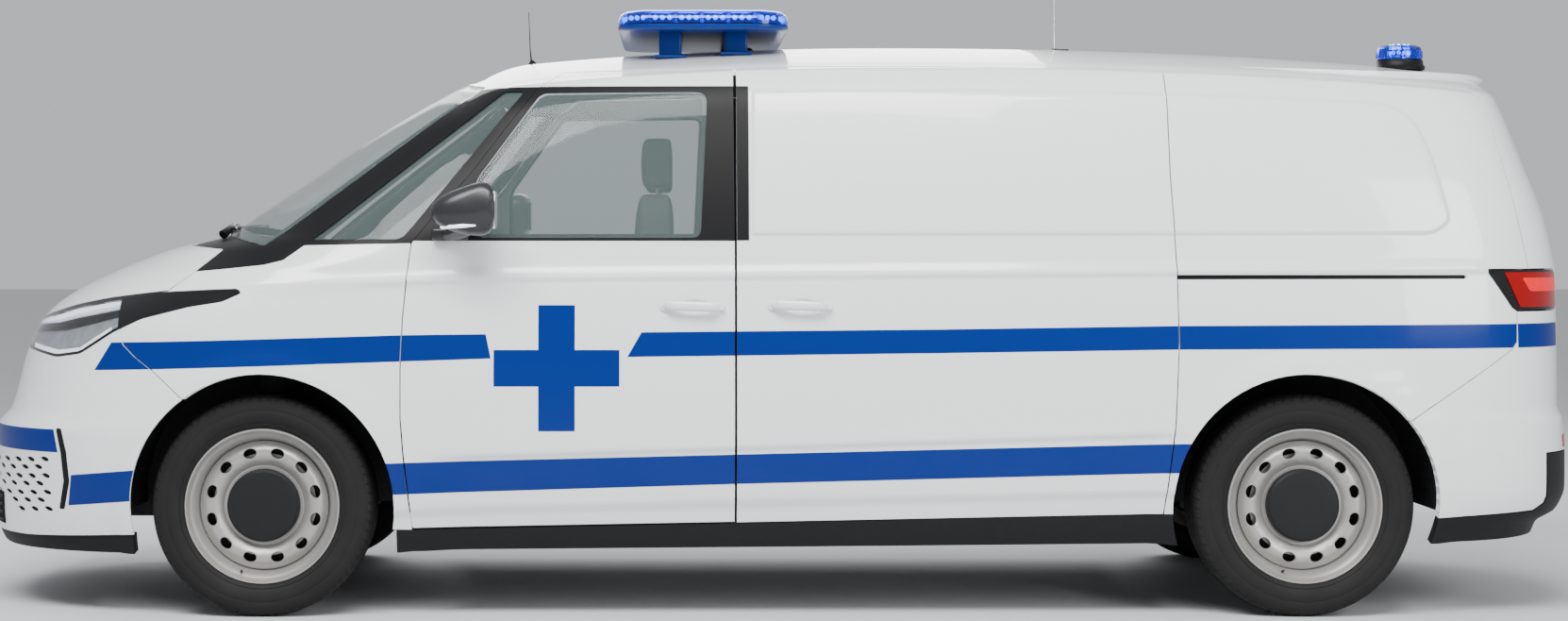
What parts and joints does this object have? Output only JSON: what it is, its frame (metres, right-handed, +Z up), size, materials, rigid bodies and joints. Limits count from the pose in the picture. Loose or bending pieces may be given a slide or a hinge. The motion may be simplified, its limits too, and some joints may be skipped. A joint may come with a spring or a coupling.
{
  "type": "ambulance van",
  "caption": "White ambulance van with opening doors, bonnet and tailgate, steered front wheels, a roof light bar and a hollow cab and hospital room.",
  "frame": {"origin": "middle of the bounding box on the ground under the tyres", "axes": "+X forward along the length, +Y to the left side, +Z up"},
  "size_m": [5.3, 2.3134, 2.16],
  "materials": {
    "white_paint": "gloss",
    "black_plastic": "satin",
    "window_glass": "clear, lightly tinted",
    "lamp_glass": "clear",
    "red_lens": "gloss",
    "blue_lens": "gloss",
    "grey_panel": "satin",
    "seat_cloth": "woven",
    "bright_metal": "brushed",
    "mattress_cover": "matt",
    "chassis_steel": "matt",
    "tyre": "matt",
    "silver_rim": "satin"
  },
  "bodies": {
    "body": {"floor_pan": "grey_panel", "roof_panel": "white_paint", "side_panel_left": "white_paint", "side_panel_right": "white_paint", "sliding_door_left": "white_paint", "sliding_door_right": "white_paint", "front_wings": "white_paint", "windscreen_pillars": "black_plastic", "cowl_panel": "black_plastic", "front_bumper": "white_paint", "front_valance": "black_plastic", "rear_bumper": "white_paint", "rear_valance": "black_plastic", "sill_covers": "black_plastic", "windscreen": "window_glass", "quarter_glass": "window_glass", "headlamps": "lamp_glass", "tail_lamps": "red_lens", "partition": "grey_panel", "dashboard": "black_plastic", "steering_wheel": "black_plastic", "front_seats": "seat_cloth", "cabinet": "grey_panel", "stretcher": "bright_metal", "stretcher_mattress": "mattress_cover", "battery_pack": "chassis_steel", "front_subframe": "chassis_steel", "rear_axle": "chassis_steel", "crossmembers": "chassis_steel", "light_bar": "blue_lens", "rear_beacon": "blue_lens", "antennas": "black_plastic"},
    "door_left": {"front_door_left": "white_paint", "door_glass_left": "window_glass", "mirror_left": "black_plastic"},
    "door_right": {"front_door_right": "white_paint", "door_glass_right": "window_glass", "mirror_right": "black_plastic"},
    "bonnet": {"bonnet": "white_paint"},
    "tailgate": {"tailgate": "white_paint", "tailgate_glass": "window_glass"},
    "steer_left": {"knuckle_left": "chassis_steel"},
    "steer_right": {"knuckle_right": "chassis_steel"},
    "wheel_front_left": {"tyre_front_left": "tyre", "rim_front_left": "silver_rim"},
    "wheel_front_right": {"tyre_front_right": "tyre", "rim_front_right": "silver_rim"},
    "wheel_rear_left": {"tyre_rear_left": "tyre", "rim_rear_left": "silver_rim"},
    "wheel_rear_right": {"tyre_rear_right": "tyre", "rim_rear_right": "silver_rim"}
  },
  "joints": [
    {"name": "front_door_left_hinge", "type": "hinge", "parent": "body", "child": "door_left", "pos_m": [1.202, 0.99, 0.7], "axis": [0, 0, -1], "range_deg": [0, 68]},
    {"name": "front_door_right_hinge", "type": "hinge", "parent": "body", "child": "door_right", "pos_m": [1.202, -0.99, 0.7], "axis": [0, 0, 1], "range_deg": [0, 68]},
    {"name": "bonnet_hinge", "type": "hinge", "parent": "body", "child": "bonnet", "pos_m": [1.776, 0, 1.186], "axis": [0, -1, 0], "range_deg": [0, 50]},
    {"name": "tailgate_hinge", "type": "hinge", "parent": "body", "child": "tailgate", "pos_m": [-2.348, 0, 1.794], "axis": [0, 1, 0], "range_deg": [0, 85]},
    {"name": "steering_left", "type": "hinge", "parent": "body", "child": "steer_left", "pos_m": [1.642, 0.7055, 0.355], "axis": [0, 0, 1], "range_deg": [-33, 33]},
    {"name": "steering_right", "type": "hinge", "parent": "body", "child": "steer_right", "pos_m": [1.642, -0.7055, 0.355], "axis": [0, 0, 1], "range_deg": [-33, 33]},
    {"name": "wheel_front_left_spin", "type": "hinge", "parent": "steer_left", "child": "wheel_front_left", "pos_m": [1.642, 0.8275, 0.355], "axis": [0, 1, 0], "continuous": true},
    {"name": "wheel_front_right_spin", "type": "hinge", "parent": "steer_right", "child": "wheel_front_right", "pos_m": [1.642, -0.8275, 0.355], "axis": [0, 1, 0], "continuous": true},
    {"name": "wheel_rear_left_spin", "type": "hinge", "parent": "body", "child": "wheel_rear_left", "pos_m": [-1.688, 0.8275, 0.355], "axis": [0, 1, 0], "continuous": true},
    {"name": "wheel_rear_right_spin", "type": "hinge", "parent": "body", "child": "wheel_rear_right", "pos_m": [-1.688, -0.8275, 0.355], "axis": [0, 1, 0], "continuous": true}
  ],
  "couplings": [
    {"joint": "steering_right", "follows": "steering_left", "ratio": 1}
  ]
}
